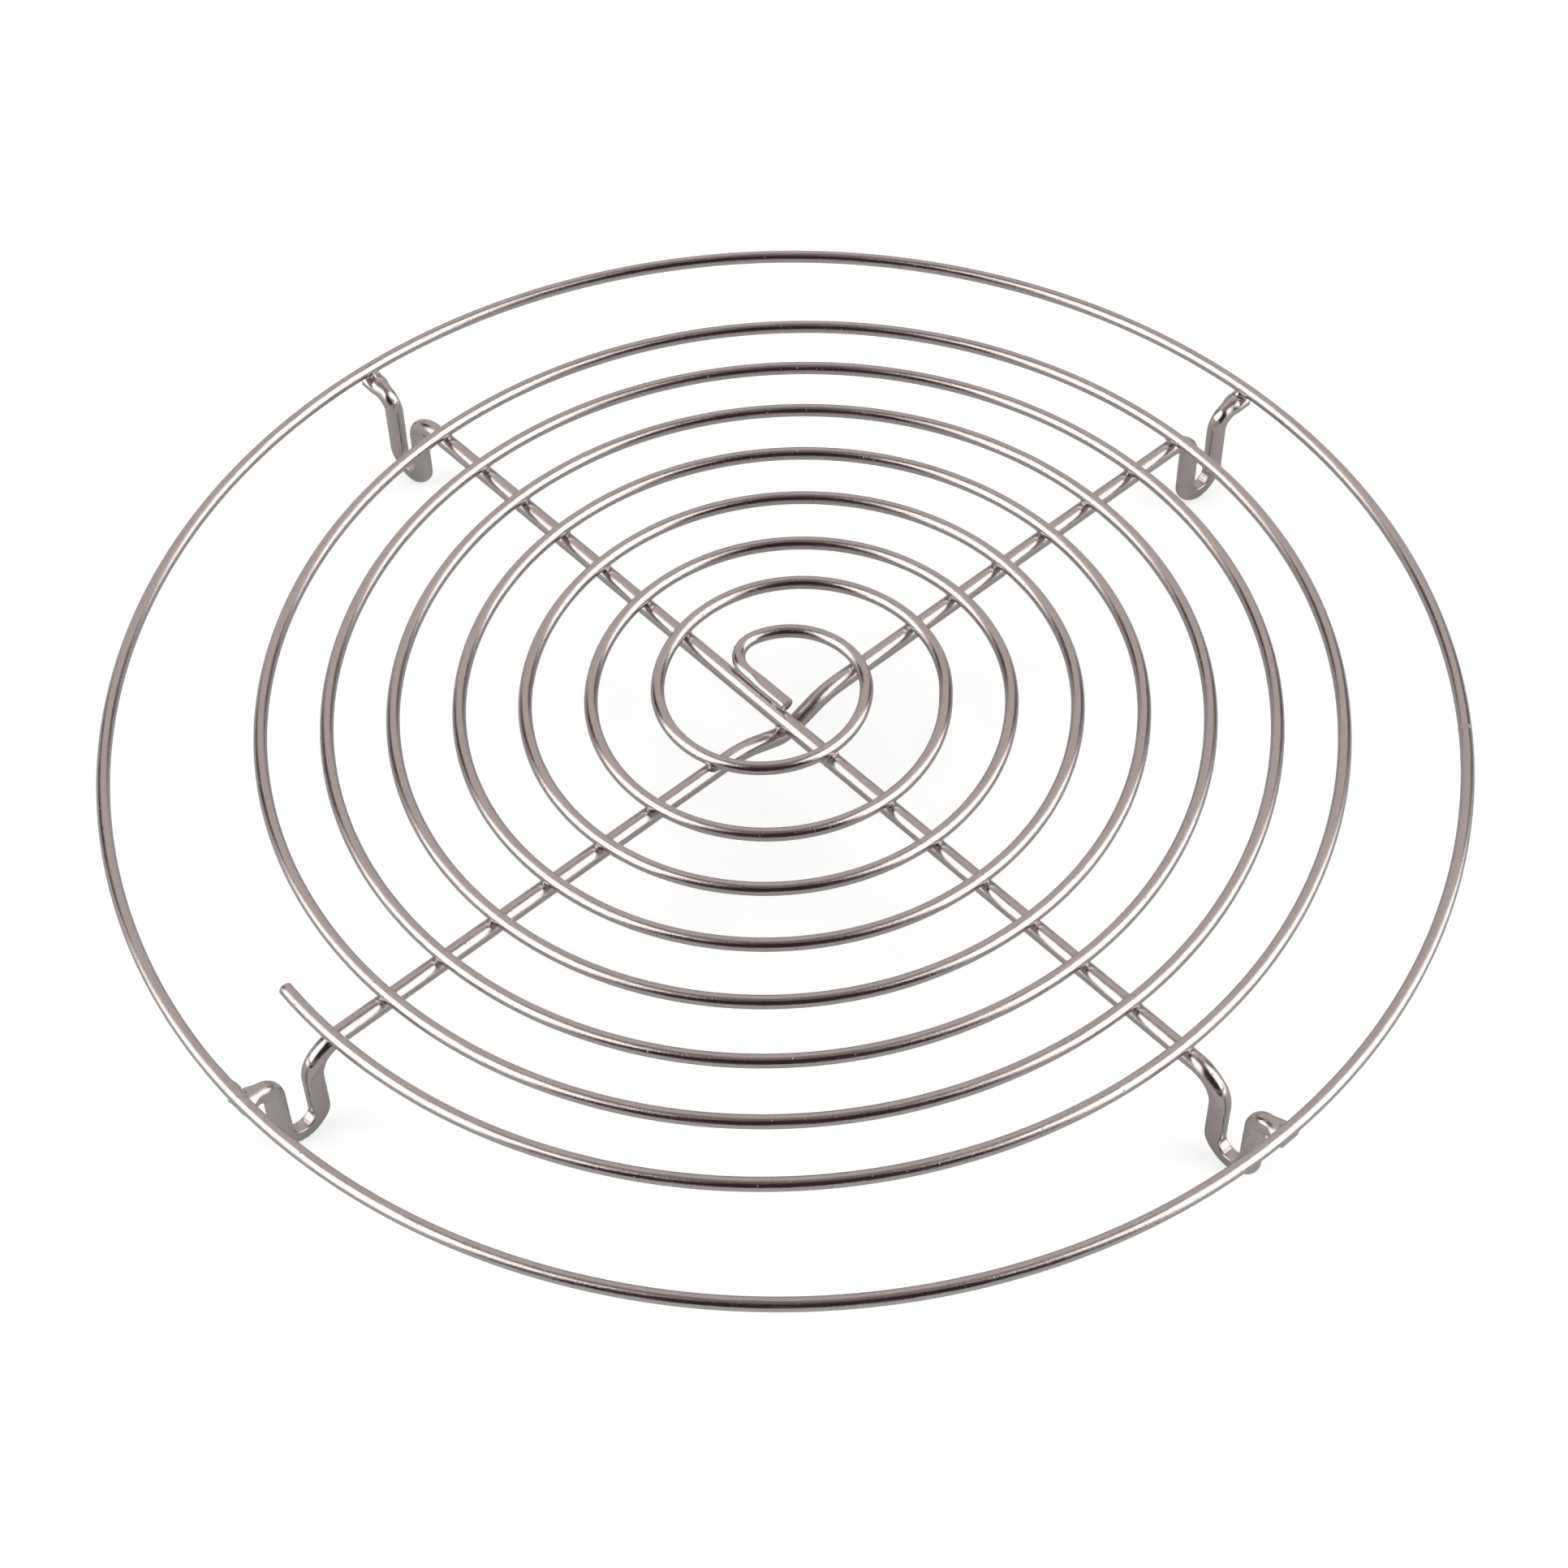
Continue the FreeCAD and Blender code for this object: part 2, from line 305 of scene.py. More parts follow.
WELD_HEAT = 1.9 * mm             # how far the tint of a weld spreads along the wire
COIL_BUTT_WELD = 0.0665          # dull patch, as a share of the coil's length, and its tint
COIL_BUTT_TINT = 0.45
COIL_SCUFF = 0.052               # scuff, likewise
COIL_SCUFF_TINT = 0.2
TAIL_PRESSED = 8.5 * mm          # length of tail that the welding electrode pressed flat on top
TAIL_TOP = 1.15 * mm             # wire's axis to that flat

coil_low, coil_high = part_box("coil_wire")
coil_z = (coil_low.z + coil_high.z) / 2
coil_reach = ring_radius - RIM_GAP
coil_pitch = (coil_reach - LAST_REACH) / COIL_TURNS


def unit(degrees):
    """Unit vector in plan along a direction in degrees."""
    return np.array([math.cos(math.radians(degrees)), math.sin(math.radians(degrees))])


def half_turn(radius, degrees=180.0):
    """Bend with a radius through an angle."""
    return radius * math.radians(degrees), degrees


def coil_bends():
    """Start point, heading and bends of the coil, from its free end inwards.

    Front halves turn about (-p/4, shift) and rear halves about (p/4, shift), where p is the
    pitch, so that each half turn is p/2 smaller than the one before it.
    """
    quarter = coil_pitch / 4
    first = coil_reach + quarter
    centre = np.array([-quarter, COIL_SHIFT])
    way = unit(CRANKED_DIRECTION + 180)
    along = centre @ way
    crossing = (along + math.sqrt(first ** 2 + along ** 2 - centre @ centre)) * way
    spoke = crossing - centre
    begin = math.degrees(math.atan2(spoke[1], spoke[0])) % 360 - math.degrees(COIL_OVERHANG / first)
    radii = first - coil_pitch / 2 * np.arange(2 * (COIL_TURNS + 1))
    bends = [half_turn(first, 360 - begin)] + [half_turn(r) for r in radii[1:]]
    bends.insert(len(bends) - 1, (EYE_SHIFT, 0.0))
    eye_front = (radii[-1] - quarter + EYE_REACH) / 2
    eye_centre = np.array([EYE_REACH - EYE_RADIUS, COIL_SHIFT + EYE_SHIFT])
    offset_way = unit(STRAIGHT_DIRECTION + 90)
    cosine = math.cos(math.radians(EYE_TURN - STRAIGHT_DIRECTION - 90))
    hook = (eye_centre @ offset_way + EYE_RADIUS * cosine - TAIL_OFFSET) / (1 + cosine)
    hook_centre = eye_centre + (EYE_RADIUS - hook) * unit(EYE_TURN)
    tail = (-TAIL_END * unit(STRAIGHT_DIRECTION) - hook_centre) @ unit(STRAIGHT_DIRECTION)
    bends += [half_turn(eye_front), half_turn(EYE_RADIUS, EYE_TURN)]
    bends += [half_turn(hook, HOOK_END - EYE_TURN), (tail, 0.0)]
    return centre + first * unit(begin), math.radians(begin + 90), bends


def stations_along(length, step):
    """Evenly spaced distances along a wire, with two more at each end for its cut edge."""
    inner = np.linspace(CUT_BEVEL, length - CUT_BEVEL, int(length / step))
    return np.concatenate([[0, CUT_BEVEL / 3], inner, [length - CUT_BEVEL / 3, length]])


def cut_bevel(stations):
    """How much smaller the section is towards a cut end: a rounded edge, CUT_BEVEL deep."""
    inside = np.minimum(stations, stations[-1] - stations)
    gone = np.clip(1 - inside / CUT_BEVEL, 0, 1)
    return CUT_BEVEL * 0.7 * gone ** 2


def crossings(points, stations, tangents, direction):
    """Where a wire's axis crosses a crossbar's: points, distances along the wire, tangents.

    The distance to the crossbar's line changes sign between two stations, and the crossing is
    found between them in proportion.
    """
    gap = points[:, :2] @ unit(direction + 90)
    near = np.nonzero(gap[:-1] * gap[1:] < 0)[0]
    share = gap[near] / (gap[near] - gap[near + 1])
    where = points[near] + share[:, None] * (points[near + 1] - points[near])
    return where, stations[near] + share * (stations[near + 1] - stations[near]), tangents[near]


def squeezed(x, limit):
    """x held within +-limit with a small radius at the edge: x / (1 + |x / limit|^12)^(1/12)."""
    return x / (1 + np.abs(x / limit) ** 12) ** (1 / 12)


coil_start, coil_heading, bends = coil_bends()
coil_length = sum(length for length, _ in bends)
coil_stations = stations_along(coil_length, COIL_STEP)
coil_plan, coil_headings = bent_axis(coil_start, coil_heading, bends, coil_stations)
coil_axis = np.column_stack([coil_plan, np.full(len(coil_plan), coil_z)])
coil_tangents = np.column_stack([np.cos(coil_headings), np.sin(coil_headings), 0 * coil_headings])
straight_crossings = crossings(coil_axis, coil_stations, coil_tangents, STRAIGHT_DIRECTION)
cranked_crossings = crossings(coil_axis, coil_stations, coil_tangents, CRANKED_DIRECTION)


def coil():
    """Coil of round section with cut ends, its tail flat on top, browned under every crossing."""
    angles = around(WIRE_SIDES)
    radius = COIL_WIRE / 2 - cut_bevel(coil_stations)[:, None] + 0 * angles
    tail = window(coil_stations, coil_length - TAIL_PRESSED, coil_length + mm, 3 * mm)[:, None]
    side, rise = radius * np.cos(angles) * (1 + 0.1 * tail), radius * np.sin(angles)
    held = squeezed(rise, 1.5 * COIL_WIRE + tail * (TAIL_TOP - 1.5 * COIL_WIRE))
    rise = np.where(rise > 0, held, rise)
    skin = wire_skin(coil_axis, coil_tangents, (0, 0, 1), side, rise)
    joined = np.concatenate([straight_crossings[1], cranked_crossings[1]])
    beside = hump(coil_stations[:, None], joined, WELD_HEAT).sum(1)[:, None]
    butt = hump(coil_stations, COIL_BUTT_WELD * coil_length, 5 * mm)[:, None]
    scuff = hump(coil_stations, COIL_SCUFF * coil_length, 3 * mm)[:, None]
    heat = beside * facing(-np.sin(angles)) * WELD_TINT
    heat = np.clip(heat + COIL_BUTT_TINT * butt + COIL_SCUFF_TINT * scuff, 0, 1)
    faces = grid_faces(len(coil_stations), WIRE_SIDES, looped=False)
    place = wire_place(coil_stations, angles, COIL_WIRE / 2)
    return new_piece("coil", skin, faces, wire_place=place, heat=heat)


coil_piece = coil()
coil_piece.data.materials.append(plated_wire("plated coil wire", NICKEL))
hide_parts("coil_wire")


# Crossbars
# Two lengths of 4 mm wire that cross on the diagonals under the coil. Each end is bent down and
# up again into a foot, whose legs the bending tool pressed flat, and is welded under the ring.

CROSSBAR_WIRE = 4.0 * mm
WELD_GAP = 0.1 * mm
BAR_INSET = 1.0 * mm             # tip, short of the outside of the ring
FOOT_INSET = 8.0 * mm            # ring axis to the foot's outer leg
FOOT_WIDTH = 9.5 * mm
INNER_SHOULDER = 7.5 * mm
OUTER_SHOULDER = 4.5 * mm
OUTER_EASE = 28.0                # degrees of the outer shoulder, next to the ring, bent wider
OUTER_EASE_RADIUS = 9.8 * mm
CRANK_HALF_LENGTH = 16.5 * mm
CRANK_SLOPE = 21.0               # degrees, where the dip under the straight bar is steepest
CRANK_BEND = 8.5 * mm
BAR_SIDES = 56
FOOT_STEP = 0.4 * mm
BAR_STEP = 1.0 * mm
FREE = 2.7 * mm                  # a limit wide enough to leave the round wire as it is
PRESSED_THICKNESS = 3.0 * mm     # across the bar, between the tool's two flats
PRESSED_WIDTH = 4.75 * mm        # in the bar's own plane, where the metal went
GROWN_SHOULDERS = (0.6, 0.3)     # growth begins and ends at these shares of the shoulders
GROWN_FADES = (3.0 * mm, 4.0 * mm)
GROWN_PAST_LEG = 1.0 * mm        # growth runs on into the bottom of the foot
EDGE_SHARES = (0.15, 0.45, 0.75)   # places on the flats' edge line, as shares of the shoulders
EDGE_DROPS = (2.0 * mm, 7.0 * mm)  # places on it down the outer leg
EDGE_SIDES = np.array([2.2, 0.3, -0.2, -0.5, -2.9, -2.9, 2.2]) * mm
FLAT_BLEND = 1.3 * mm            # width of the rounded step at the edge of a flat
FLAT_TINT = 0.18
VALLEY_FLAT = 1.55 * mm          # wire's axis to the flat that the bending pin left
VALLEY_MARGIN = 3.0 * mm         # ends of the bottom bend that the pin left round
VALLEY_FADE = 4.0 * mm
VALLEY_GROWN = 0.3               # growth at the pin, as a share of that on the legs
TIP_THICKNESS = 2.6 * mm         # the tip, squashed under the ring by the welding electrode
TIP_WIDTH = 5.3 * mm
TIP_LENGTH = 2.6 * mm
TIP_FADE = 3.4 * mm
CENTRE_HEAT = 2.6 * mm           # how far the tint of the centre weld spreads

bar_z = coil_z - COIL_WIRE / 2 - WELD_GAP - CROSSBAR_WIRE / 2
bar_end = ring_outer - BAR_INSET
outer_leg = ring_radius - FOOT_INSET
foot_bend = FOOT_WIDTH / 2
inner_leg = outer_leg - FOOT_WIDTH
foot_z = CROSSBAR_WIRE / 2 + foot_bend


def half_bar(middle):
    """Bends from a crossbar's tip to the rack's axis, seen in its own plane: foot, then middle."""
    ease = (OUTER_EASE_RADIUS - OUTER_SHOULDER) * unit(90 - OUTER_EASE)
    tip = bar_end - outer_leg - OUTER_SHOULDER - ease[0]
    leg_top = bar_z - OUTER_EASE_RADIUS + ease[1]
    foot = [(tip, 0.0), half_turn(OUTER_EASE_RADIUS, OUTER_EASE),
            half_turn(OUTER_SHOULDER, 90 - OUTER_EASE), (leg_top - foot_z, 0.0),
            (foot_bend * math.pi, -180.0), (bar_z - INNER_SHOULDER - foot_z, 0.0),
            half_turn(INNER_SHOULDER, 90)]
    return foot + middle


def bar_stations(length, foot):
    """Distances along a crossbar, closer together in the two feet than between them."""
    near = stations_along(2 * foot, FOOT_STEP)
    near = near[near < foot]
    between = np.linspace(near[-1], length - near[-1], int((length - 2 * foot) / BAR_STEP))
    return np.concatenate([near, between[1:-1], length - near[::-1]])


def pressed_section(from_tip, knots, radius, angles):
    """Section of a crossbar along a foot: side, rise, and how far inside the flats a point lies.

    It starts as a circle: side = r cos a in the bar's plane, rise = r sin a across it. Beyond an
    edge line on each shoulder the rise is held within the tool's flats, and the legs grow in the
    plane. The valley of the foot is held flat where it was bent round the pin, and the tip is
    flatter and wider.
    """
    tip_end, _, outer_top, outer_foot, inner_foot, inner_top, level_begin = knots[:7]
    outer_arc, inner_arc = outer_top - tip_end, level_begin - inner_top
    outer = window(from_tip, tip_end + GROWN_SHOULDERS[0] * outer_arc,
                   outer_foot + GROWN_PAST_LEG, GROWN_FADES[0])
    inner = window(from_tip, inner_foot - GROWN_PAST_LEG,
                   inner_top + GROWN_SHOULDERS[1] * inner_arc, GROWN_FADES[1])
    legs = np.clip(outer + inner, 0, 1)[:, None]
    pinned = window(from_tip, outer_foot + VALLEY_MARGIN, inner_foot - VALLEY_MARGIN, VALLEY_FADE)
    pinned = pinned[:, None]
    tip = window(from_tip, -1.0, TIP_LENGTH, TIP_FADE)[:, None]

    growth = (PRESSED_WIDTH - CROSSBAR_WIRE) / 2 / radius
    side = radius * np.cos(angles)
    valley_side = squeezed(side * (1 + np.maximum(legs, VALLEY_GROWN * pinned) * growth),
                           FREE + pinned * (VALLEY_FLAT - FREE))
    floor_side = squeezed(side * (1 + legs * growth),
                          FREE + tip * (TIP_THICKNESS - CROSSBAR_WIRE / 2 - FREE))
    side = np.where(side < 0, valley_side, floor_side)

    places = [tip_end + EDGE_SHARES[0] * outer_arc, tip_end + EDGE_SHARES[1] * outer_arc,
              outer_top, outer_top + EDGE_DROPS[0], outer_top + EDGE_DROPS[1],
              inner_top + 0.5 * mm, inner_top + EDGE_SHARES[2] * inner_arc]
    edge = np.interp(from_tip, places, EDGE_SIDES)
    inside = s_curve((side - edge[:, None]) / FLAT_BLEND)
    limit = FREE + inside * (PRESSED_THICKNESS / 2 - FREE)
    fuller = 1 + legs * growth * np.cos(angles) ** 2
    wider = 1 + tip * (TIP_WIDTH / CROSSBAR_WIRE - 1)
    return side, squeezed(radius * np.sin(angles) * fuller, limit) * wider, inside


def crossbar(name, direction, middle, joined, centre_side):
    """Crossbar with pressed feet, its section carried along the bent axis.

    Heat fades from each weld; centre_side is 1 or -1 as the other crossbar lies below or above.
    """
    bends = half_bar(middle)
    knots = np.cumsum([length for length, _ in bends])
    length = 2 * knots[-1]
    stations = bar_stations(length, knots[6] + 2 * mm)
    points, headings = bent_axis((bar_end, bar_z), np.pi, bends + bends[::-1], stations)
    along = np.array([*unit(direction), 0])
    up, across = np.array([0, 0, 1]), np.array([*unit(direction + 90), 0])
    axis = points[:, :1] * along + points[:, 1:] * up
    tangents = np.cos(headings)[:, None] * along + np.sin(headings)[:, None] * up

    from_tip = np.minimum(stations, length - stations)
    angles = around(BAR_SIDES)
    radius = CROSSBAR_WIRE / 2 - cut_bevel(stations)[:, None]
    side, rise, inside = pressed_section(from_tip, knots, radius, angles)
    skin = wire_skin(axis, tangents, across, side, rise)

    level = knots[6] + inner_leg - INNER_SHOULDER
    distances = joined[:, :2] @ unit(direction)
    welds = np.where(distances > 0, level - distances, length - level - distances)
    joint = bar_end - ring_radius
    welds = np.concatenate([welds, [joint, length - joint]])
    above = hump(stations[:, None], welds, WELD_HEAT).sum(1)[:, None] * facing(-np.cos(angles))
    middle_weld = hump(stations, length / 2, CENTRE_HEAT)[:, None]
    heat = above * WELD_TINT + middle_weld * facing(centre_side * np.cos(angles))
    heat = np.clip(heat + FLAT_TINT * inside, 0, 1)
    faces = grid_faces(len(stations), BAR_SIDES, looped=False)
    place = wire_place(stations, angles, CROSSBAR_WIRE / 2)
    return new_piece(name, skin, faces, wire_place=place, heat=heat)


crank_depth = CROSSBAR_WIRE + WELD_GAP
slope_way = unit(CRANK_SLOPE)
both_bends = (CRANK_HALF_LENGTH * slope_way[1] - crank_depth * slope_way[0]) / (1 - slope_way[0])
flank = crank_depth * slope_way[1] / (1 - slope_way[0]) - CRANK_HALF_LENGTH
level_run = inner_leg - INNER_SHOULDER
straight_middle = [(level_run, 0.0)]
cranked_middle = [(level_run - CRANK_HALF_LENGTH, 0.0),
                  half_turn(both_bends - CRANK_BEND, CRANK_SLOPE), (flank, 0.0),
                  (CRANK_BEND * math.radians(CRANK_SLOPE), -CRANK_SLOPE)]
bar_metal = plated_wire("plated crossbar wire", NICKEL)

straight_bar = crossbar("straight_bar", STRAIGHT_DIRECTION, straight_middle,
                        straight_crossings[0], 1)
cranked_bar = crossbar("cranked_bar", CRANKED_DIRECTION, cranked_middle, cranked_crossings[0], -1)
for bar, node in ((straight_bar, "straight_crossbar"), (cranked_bar, "cranked_crossbar")):
    bar.data.materials.append(bar_metal)
    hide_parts(node)


# Welds
# Resistance welds at every crossing: the wires sink a little into each other, and the molten
# metal squeezed out between them sets as an uneven collar with a bead or two on it.

COLLAR_ROWS = 11
COLLAR_SIDES = 28
SINK = 0.3 * mm                  # how far a collar reaches into each wire
WAVE_COUNTS = [2, 3, 5, 7]       # waves round a collar, and their heights as shares of its reach
WAVE_HEIGHTS = np.array([0.05, 0.045, 0.03, 0.02])
BEAD_ANGLE = 0.28                # half width of a bead in radians, and in rows from -1 to 1
BEAD_ROWS = 0.45
LUMP_ANGLE = 0.42
LUMP_ROWS = 0.6
LUMP_LEVEL = -0.35
COIL_COLLAR = (1.5 * mm, 1.12 * mm)  # reach of a collar along the upper wire and across it
RING_COLLAR = (1.75 * mm, 1.35 * mm)
CENTRE_COLLAR = (1.8 * mm, 1.75 * mm)
TAIL_COLLAR = (1.6 * mm, 0.55 * mm)
RING_LUMP = 1.0 * mm
BULGE = 1.06                     # reach half way up a collar, and what its two ends lose
BULGE_LOSS = 0.16
BEAD_HIGHLIGHT_HEIGHT = 0.35 * mm          # a bead this high keeps clean nickel on top as a painted highlight; lower collar metal is browned

rng = np.random.default_rng(31)


def surface_height(plan, wire, sign):
    """Height of a level wire's top (sign 1) or underside (-1) over points in plan.

    z + sign sqrt(R^2 - d^2), with d the distance from the wire's axis, which stays under 0.97 R.
    """
    start, way, z, radius = wire
    away = (plan - start[:, None, None]) @ np.array([[0, 1], [-1, 0]])
    d = np.clip((away * way[:, None, None]).sum(-1), -0.97 * radius, 0.97 * radius)
    return z + sign * np.sqrt(radius ** 2 - d ** 2)


def weld_collars(name, nodes, centres, lower, upper, reach, beads, lump=0.0):
    """One collar for each centre, between a lower and an upper wire.

    Seen from above a collar is an ellipse, reach[0] along the upper wire and reach[1] across it,
    made uneven by a few waves round it and by beads, which are humps in angle and height. A lump
    is one bigger bead on its left, seen along the upper wire. From row to row a collar goes from
    inside the lower wire to inside the upper one, bulging half way.
    """
    count = len(centres)
    rows = np.linspace(-1, 1, COLLAR_ROWS)[None, :, None]
    a = -around(COLLAR_SIDES)[None]
    oval = 1 / np.sqrt((np.cos(a) / reach[0]) ** 2 + (np.sin(a) / reach[1]) ** 2)
    phase = rng.uniform(0, 2 * np.pi, (count, 1, 1, 4))
    waves = (WAVE_HEIGHTS * np.cos(a[..., None] * WAVE_COUNTS + phase)).sum(-1)
    spot = rng.uniform(0, 2 * np.pi, (count, 1, 1, beads))
    level = rng.uniform(-0.5, 0.3, (count, 1, 1, beads))
    size = rng.uniform(0.2, 0.5, (count, 1, 1, beads)) * mm
    turn = (a[..., None] - spot + np.pi) % (2 * np.pi) - np.pi
    bead = (size * hump(turn, 0, BEAD_ANGLE) * hump(rows[..., None], level, BEAD_ROWS)).sum(-1)
    corner = (a - np.pi / 2 + np.pi) % (2 * np.pi) - np.pi
    lump = lump * rng.uniform(0.8, 1.2, (count, 1, 1))
    bead += lump * hump(corner, 0, LUMP_ANGLE) * hump(rows, LUMP_LEVEL, LUMP_ROWS)
    radius = oval * (1 + waves) * (BULGE - BULGE_LOSS * rows ** 2) + bead
    way = upper[1][:, None, None]
    square = way @ np.array([[0, 1], [-1, 0]])
    spread = radius[..., None] * (np.cos(a)[..., None] * way + np.sin(a)[..., None] * square)
    plan = centres[:, None, None] + spread
    low = surface_height(plan, lower, 1) - SINK
    high = surface_height(plan, upper, -1) + SINK
    height = low + (high - low) * (rows + 1) / 2
    points = np.concatenate([plan, height[..., None]], -1)
    one = grid_faces(COLLAR_ROWS, COLLAR_SIDES, looped=False)
    faces = one[None] + np.arange(count)[:, None, None] * COLLAR_ROWS * COLLAR_SIDES
    # Painted light: away from its beads the collar is browned, partly weld tint and partly painted
    # shade, and tall bead tops keep clean nickel as a painted highlight.
    tint_and_shade_off_beads = 1 - np.clip(bead / BEAD_HIGHLIGHT_HEIGHT, 0, 1)
    piece = new_piece(name, points, faces.reshape(-1, 4), heat=tint_and_shade_off_beads)
    piece.data.materials.append(weld_metal)
    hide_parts(*nodes)
    return piece


def rough_weld_metal():
    """Plated weld metal, rippled and pitted: painted highlight on beads, brown hollows part weld
    tint, part painted shade.
    """
    material = bpy.data.materials.new("plated weld metal")
    material.use_nodes = True
    tree = material.node_tree
    tree.nodes.clear()
    place = add(tree, "ShaderNodeTexCoord").outputs["Object"]
    ripples = noise(tree, place, (1400.0, 1400.0, 1400.0), 4.0)
    tints = noise(tree, place, (420.0, 420.0, 420.0), 2.0)
    heat = add(tree, "ShaderNodeAttribute", attribute_name="heat").outputs["Fac"]
    # Brown on the collar: weld tint and painted shade in its low parts, none on bead tops, which
    # stay clean as a painted highlight.
    brown = maths(tree, "MULTIPLY", ramp(tree, tints, 0.3, 0.65, 0.15, 0.95), heat)
    colour = mixed(tree, brown, (*NICKEL, 1), (*STAIN_AND_SHADE, 1))
    rough = ramp(tree, ripples, 0.3, 0.7, 0.16, 0.38)
    bump = add(tree, "ShaderNodeBump", {"Height": ripples, "Strength": 1.0, "Distance": 0.12 * mm})
    shader = add(tree, "ShaderNodeBsdfPrincipled", {
        "Base Color": colour, "Metallic": 1.0, "Roughness": rough, "Normal": bump.outputs[0]})
    add(tree, "ShaderNodeOutputMaterial", {"Surface": shader.outputs[0]})
    return material


weld_metal = rough_weld_metal()


def level_wire(centres, direction, z, diameter):
    """A level wire through each centre, along a direction in degrees."""
    return centres, np.broadcast_to(unit(direction), centres.shape), z, diameter / 2


def coil_collars(name, node, found, direction):
    """Collars at the coil's crossings with one crossbar."""
    centres = found[0][:, :2]
    lower = level_wire(centres, direction, bar_z, CROSSBAR_WIRE)
    upper = centres, found[2][:, :2], coil_z, COIL_WIRE / 2
    return weld_collars(name, [node], centres, lower, upper, COIL_COLLAR, 2)


coil_collars("straight_bar_coil_weld_beads", "straight_crossbar_coil_welds",
             straight_crossings, STRAIGHT_DIRECTION)
coil_collars("cranked_bar_coil_weld_beads", "cranked_crossbar_coil_welds",
             cranked_crossings, CRANKED_DIRECTION)

spokes = np.array([unit(direction) for direction in JOINT_DIRECTIONS])
joints = ring_radius * spokes
ring_way = spokes @ np.array([[0, 1], [-1, 0]])
weld_collars("ring_joint_weld_beads", ["ring_joint_welds"], joints,
             (joints, spokes, bar_z, CROSSBAR_WIRE / 2), (joints, ring_way, ring_z, RING_WIRE / 2),
             RING_COLLAR, 5, lump=RING_LUMP)

centre = np.zeros((1, 2))
weld_collars("centre_weld_bead", ["crossbar_centre_weld"], centre,
             level_wire(centre, CRANKED_DIRECTION, bar_z - crank_depth, CROSSBAR_WIRE),
             level_wire(centre, STRAIGHT_DIRECTION, bar_z, CROSSBAR_WIRE), CENTRE_COLLAR, 3)

tail_low, tail_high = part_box("coil_tail_weld")
tail_centre = (np.array(tail_low) + np.array(tail_high))[None, :2] / 2
tail_way = unit(STRAIGHT_DIRECTION + 90)
weld_collars("tail_weld_bead", ["coil_tail_weld"], tail_centre,
             level_wire(centre, STRAIGHT_DIRECTION, bar_z, CROSSBAR_WIRE),
             level_wire(centre + TAIL_OFFSET * tail_way, STRAIGHT_DIRECTION, coil_z, COIL_WIRE),
             TAIL_COLLAR, 2)


# Floor, light and camera
# A pale matt table in a soft studio: a tall soft box on each side, a dark room in front, a pale
# grey wall behind. The camera looks down at the rack from the front.

FLOOR_HALF = 4.0
FLOOR_SHADE = (0.62, 0.635, 0.645, 1)
FLOOR_LIFT = 0.60                # extra white that the camera sees, but no mirrored ray
BOX_GLOW = 1.95
WALL_GREY = (0.610, 0.555, 0.540, 1)
DARK_SCREENS = ((150, 27, 0.19, -0.35, 0.35, 0.06), (42, 8, 0.16, -0.5, 0.5, 0.15))
SCREEN_BLUR = 0.07
WARM_PANEL = (95, 60, 1.6, -0.04, 0.05, 0.06)  # azimuth, tilt, half width, bottom, top, blur
LEFT_BOX = (200, 20, 0.53, -0.60, 1.12, 0.09)
RIGHT_BOX = (-6.5, 10, 0.58, -0.28, 1.65, 0.09)
WARM_GREY = (0.86, 0.77, 0.70, 1)
CEILING_GREY = (0.26, 0.24, 0.245, 1)
DARK_ROOM = (0.036, 0.026, 0.025, 1)
PLAIN_GREY = (1.0, 1.0, 1.0, 1)


def floor():
    """Flat square floor at z = 0, four metres to each side, of plain pale laminate."""
    corners = FLOOR_HALF * np.array([[-1, -1, 0], [1, -1, 0], [1, 1, 0], [-1, 1, 0]])
    mesh = bpy.data.meshes.new("floor")
    mesh.from_pydata(corners.tolist(), [], [(0, 1, 2, 3)])
    table = bpy.data.objects.new("floor", mesh)
    bpy.context.scene.collection.objects.link(table)
    material = bpy.data.materials.new("pale floor")
    material.use_nodes = True
    tree = material.node_tree
    shader = tree.nodes["Principled BSDF"]
    shader.inputs["Base Color"].default_value = FLOOR_SHADE
    shader.inputs["Roughness"].default_value = 0.9
    shader.inputs["Specular IOR Level"].default_value = 0.0
    sight = add(tree, "ShaderNodeLightPath").outputs["Is Camera Ray"]
    lift = maths(tree, "MULTIPLY", sight, FLOOR_LIFT)
    shader.inputs["Emission Color"].default_value = (1, 1, 1, 1)
    tree.links.new(lift, shader.inputs["Emission Strength"])
    mesh.materials.append(material)


def panel(tree, ray, azimuth, tilt, half_width, bottom, top, blur):
    """1 where a ray from the rack meets a flat panel, else 0, with a soft edge.

    The panel faces the rack from an azimuth and elevation; a ray meets its plane at
    u = ray.right / ray.normal and v = ray.up / ray.normal.
    """
    a, e = math.radians(azimuth), math.radians(tilt)
    normal = Vector((math.cos(a) * math.cos(e), math.sin(a) * math.cos(e), math.sin(e)))
    right = Vector((-math.sin(a), math.cos(a), 0))
    rise = normal.cross(right)

    def dot(axis):
        node = add(tree, "ShaderNodeVectorMath", {0: ray, 1: axis}, operation="DOT_PRODUCT")
        return node.outputs["Value"]

    depth = dot(normal)
    u = maths(tree, "ABSOLUTE", maths(tree, "DIVIDE", dot(right), depth), 0.0)
    v = maths(tree, "DIVIDE", dot(rise), depth)
    inside = ramp(tree, u, half_width - blur, half_width + blur, 1.0, 0.0)
    inside = maths(tree, "MULTIPLY", inside, ramp(tree, v, bottom - blur, bottom + blur))
    inside = maths(tree, "MULTIPLY", inside, ramp(tree, v, top - blur, top + blur, 1.0, 0.0))
    return maths(tree, "MULTIPLY", inside, maths(tree, "GREATER_THAN", depth, 0.05))


